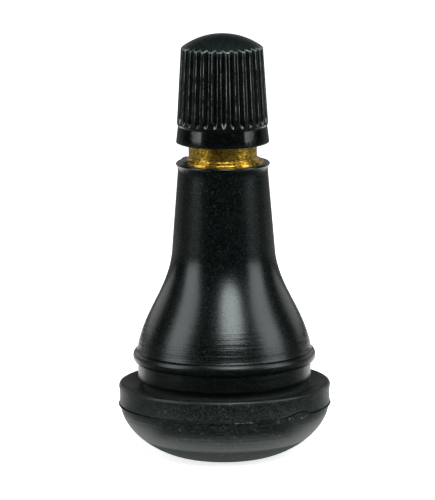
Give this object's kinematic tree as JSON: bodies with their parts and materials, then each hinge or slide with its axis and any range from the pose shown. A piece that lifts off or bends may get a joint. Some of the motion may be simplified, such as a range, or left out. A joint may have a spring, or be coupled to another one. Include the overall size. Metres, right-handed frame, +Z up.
{
  "type": "tyre valve",
  "caption": "Snap-in rubber tyre valve: bulbous base with a rim groove and snap bead, flared neck, brass stem with a spring-loaded core, and a ribbed screw cap.",
  "frame": {"origin": "centre of the flat foot under the rubber bulb, on the valve's axis", "axes": "+Z up the stem toward the cap, +X to the right in the picture, +Y away from the viewer"},
  "size_m": [0.0232, 0.0232, 0.0463],
  "materials": {
    "body_rubber": "smooth moulded black rubber, satin on the neck and duller on the bulb",
    "brass": "bright turned brass",
    "cap_plastic": "glossy moulded black plastic",
    "seal_rubber": "plain dark rubber",
    "steel": "drawn steel wire"
  },
  "bodies": {
    "valve_body": {"rubber_body": "body_rubber", "brass_stem": "brass"},
    "washer": {"cap_seal": "seal_rubber"},
    "cap": {"cap_shell": "cap_plastic"},
    "core": {"core_barrel": "brass", "core_gasket": "seal_rubber", "core_spring": "steel"},
    "swivel": {"core_swivel": "brass"},
    "pin": {"core_pin": "steel", "spring_collar": "brass", "valve_cup": "brass", "cup_seal": "seal_rubber"}
  },
  "joints": [
    {"name": "cap_lift", "type": "slide", "parent": "valve_body", "child": "washer", "axis": [0, 0, 1], "range_m": [0, 0.00806]},
    {"name": "cap_turn", "type": "hinge", "parent": "washer", "child": "cap", "pos_m": [0, 0, 0.04241], "axis": [0, 0, 1], "range_deg": [0, 3660]},
    {"name": "core_lift", "type": "slide", "parent": "valve_body", "child": "core", "axis": [0, 0, 1], "range_m": [0, 0.00246]},
    {"name": "core_turn", "type": "hinge", "parent": "core", "child": "swivel", "pos_m": [0, 0, 0.0382], "axis": [0, 0, 1], "range_deg": [0, 1260]},
    {"name": "pin_press", "type": "slide", "parent": "core", "child": "pin", "axis": [0, 0, -1], "range_m": [0, 0.0012], "stiffness_N_per_m": 800, "springref_m": -0.0025, "deforming": ["core_spring"]}
  ],
  "couplings": [
    {"joint": "cap_turn", "follows": "cap_lift", "rad_per_m": 7915.8},
    {"joint": "core_turn", "follows": "core_lift", "rad_per_m": 8905.3}
  ]
}
